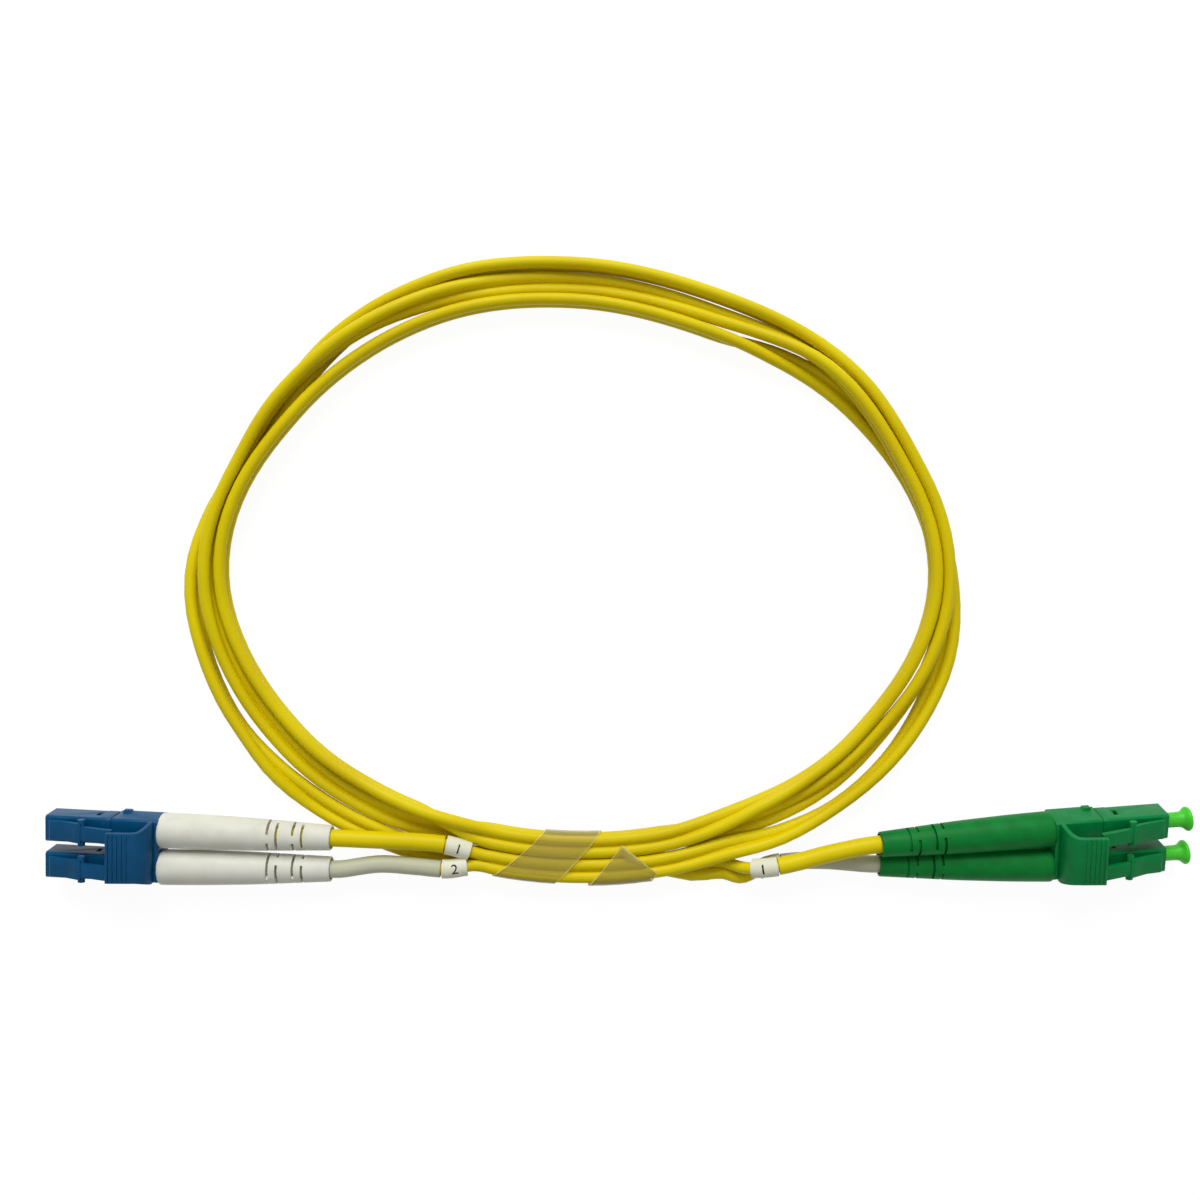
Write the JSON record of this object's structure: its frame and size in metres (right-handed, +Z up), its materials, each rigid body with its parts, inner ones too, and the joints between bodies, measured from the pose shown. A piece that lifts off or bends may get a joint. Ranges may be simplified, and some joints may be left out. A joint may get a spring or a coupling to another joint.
{
  "type": "fiber optic patch cord",
  "caption": "Duplex fibre optic patch cord, coiled and held by spiral wrap, with paired latching plugs at each end: blue with white boots, and green with dust caps.",
  "frame": {"origin": "under the middle of the two duplex connectors, at the height of their undersides, which is the table", "axes": "+X from the blue connectors to the green ones, +Y from the connectors towards the far side of the coil, +Z up from the table"},
  "size_m": [0.191, 0.1077, 0.012],
  "materials": {
    "blue_plastic": "satin moulded, PC or PEI",
    "green_plastic": "satin moulded, PC or PEI",
    "lime_plastic": "soft, semi-gloss",
    "white_rubber": "satin thermoplastic elastomer",
    "green_rubber": "satin thermoplastic elastomer",
    "yellow_jacket": "satin PVC or LSZH cord jacket",
    "white_jacket": "satin tube",
    "label_white": "matt printed ring",
    "clear_wrap": "milky polyethylene strip",
    "ceramic": "polished zirconia",
    "flange_metal": "nickel-plated brass",
    "spring_steel": "drawn stainless wire",
    "crimp_metal": "drawn tube",
    "inner_plastic": "moulded",
    "buffer_plastic": "tight buffer over the glass"
  },
  "bodies": {
    "cord_and_plugs": {"blue_housing_1": "blue_plastic", "blue_spring_1": "spring_steel", "blue_backbone_1": "inner_plastic", "blue_buffered_fibre_1": "buffer_plastic", "blue_crimp_ring_1": "crimp_metal", "blue_boot_1": "white_rubber", "blue_fibre_1": "yellow_jacket", "blue_sleeve_1": "yellow_jacket", "blue_label_ring_1": "label_white", "blue_housing_2": "blue_plastic", "blue_spring_2": "spring_steel", "blue_backbone_2": "inner_plastic", "blue_buffered_fibre_2": "buffer_plastic", "blue_crimp_ring_2": "crimp_metal", "blue_boot_2": "white_rubber", "blue_fibre_2": "yellow_jacket", "blue_sleeve_2": "white_jacket", "blue_label_ring_2": "label_white", "blue_clip": "blue_plastic", "green_housing_1": "green_plastic", "green_spring_1": "spring_steel", "green_backbone_1": "inner_plastic", "green_buffered_fibre_1": "buffer_plastic", "green_crimp_ring_1": "crimp_metal", "green_boot_1": "green_rubber", "green_fibre_1": "yellow_jacket", "green_sleeve_1": "yellow_jacket", "green_label_ring_1": "label_white", "green_housing_2": "green_plastic", "green_spring_2": "spring_steel", "green_backbone_2": "inner_plastic", "green_buffered_fibre_2": "buffer_plastic", "green_crimp_ring_2": "crimp_metal", "green_boot_2": "green_rubber", "green_fibre_2": "yellow_jacket", "green_sleeve_2": "white_jacket", "green_label_ring_2": "label_white", "green_clip": "green_plastic", "coiled_cord": "yellow_jacket", "spiral_wrap": "clear_wrap"},
    "blue_latch_arm_1": {"blue_latch_1": "blue_plastic"},
    "blue_ferrule_unit_1": {"blue_ferrule_1": "ceramic", "blue_ferrule_flange_1": "flange_metal"},
    "blue_latch_arm_2": {"blue_latch_2": "blue_plastic"},
    "blue_ferrule_unit_2": {"blue_ferrule_2": "ceramic", "blue_ferrule_flange_2": "flange_metal"},
    "blue_trigger_body": {"blue_trigger": "blue_plastic"},
    "green_latch_arm_1": {"green_latch_1": "green_plastic"},
    "green_ferrule_unit_1": {"green_ferrule_1": "ceramic", "green_ferrule_flange_1": "flange_metal"},
    "green_dust_cap_body_1": {"green_dust_cap_1": "lime_plastic"},
    "green_latch_arm_2": {"green_latch_2": "green_plastic"},
    "green_ferrule_unit_2": {"green_ferrule_2": "ceramic", "green_ferrule_flange_2": "flange_metal"},
    "green_dust_cap_body_2": {"green_dust_cap_2": "lime_plastic"},
    "green_trigger_body": {"green_trigger": "green_plastic"}
  },
  "joints": [
    {"name": "blue_latch_press_1", "type": "hinge", "parent": "cord_and_plugs", "child": "blue_latch_arm_1", "pos_m": [-0.09384, 0.00295, 0.00658], "axis": [0.0519, 0.9912, 0.1219], "range_deg": [0, 7.9]},
    {"name": "blue_ferrule_slide_1", "type": "slide", "parent": "cord_and_plugs", "child": "blue_ferrule_unit_1", "axis": [0.9986, -0.0523, 0], "range_m": [0, 0.0009], "stiffness_N_per_m": 1500, "springref_m": -0.0035, "deforming": ["blue_spring_1"]},
    {"name": "blue_latch_press_2", "type": "hinge", "parent": "cord_and_plugs", "child": "blue_latch_arm_2", "pos_m": [-0.09416, -0.00325, 0.00582], "axis": [0.0519, 0.9912, 0.1219], "range_deg": [0, 7.9]},
    {"name": "blue_ferrule_slide_2", "type": "slide", "parent": "cord_and_plugs", "child": "blue_ferrule_unit_2", "axis": [0.9986, -0.0523, 0], "range_m": [0, 0.0009], "stiffness_N_per_m": 1500, "springref_m": -0.0035, "deforming": ["blue_spring_2"]},
    {"name": "blue_trigger_press", "type": "hinge", "parent": "cord_and_plugs", "child": "blue_trigger_body", "pos_m": [-0.07762, -0.00101, 0.00618], "axis": [-0.0519, -0.9912, -0.1219], "range_deg": [0, 14], "stiffness_Nm_per_rad": 0.05},
    {"name": "green_latch_press_1", "type": "hinge", "parent": "cord_and_plugs", "child": "green_latch_arm_1", "pos_m": [0.08946, 0.00329, 0.00788], "axis": [0.0713, -0.9484, -0.309], "range_deg": [0, 7.9]},
    {"name": "green_ferrule_slide_1", "type": "slide", "parent": "cord_and_plugs", "child": "green_ferrule_unit_1", "axis": [-0.9972, -0.075, 0], "range_m": [0, 0.0009], "stiffness_N_per_m": 1500, "springref_m": -0.0035, "deforming": ["green_spring_1"]},
    {"name": "green_dust_cap_pull_1", "type": "slide", "parent": "cord_and_plugs", "child": "green_dust_cap_body_1", "axis": [0.9972, 0.075, 0], "range_m": [0, 0.007]},
    {"name": "green_latch_press_2", "type": "hinge", "parent": "cord_and_plugs", "child": "green_latch_arm_2", "pos_m": [0.08991, -0.00264, 0.00595], "axis": [0.0713, -0.9484, -0.309], "range_deg": [0, 7.9]},
    {"name": "green_ferrule_slide_2", "type": "slide", "parent": "cord_and_plugs", "child": "green_ferrule_unit_2", "axis": [-0.9972, -0.075, 0], "range_m": [0, 0.0009], "stiffness_N_per_m": 1500, "springref_m": -0.0035, "deforming": ["green_spring_2"]},
    {"name": "green_dust_cap_pull_2", "type": "slide", "parent": "cord_and_plugs", "child": "green_dust_cap_body_2", "axis": [0.9972, 0.075, 0], "range_m": [0, 0.007]},
    {"name": "green_trigger_press", "type": "hinge", "parent": "cord_and_plugs", "child": "green_trigger_body", "pos_m": [0.07333, -0.0009, 0.00689], "axis": [-0.0713, 0.9484, 0.309], "range_deg": [0, 14], "stiffness_Nm_per_rad": 0.05}
  ],
  "couplings": [
    {"joint": "blue_latch_press_1", "follows": "blue_trigger_press", "ratio": 0.55},
    {"joint": "blue_latch_press_2", "follows": "blue_trigger_press", "ratio": 0.55},
    {"joint": "green_latch_press_1", "follows": "green_trigger_press", "ratio": 0.55},
    {"joint": "green_latch_press_2", "follows": "green_trigger_press", "ratio": 0.55}
  ]
}
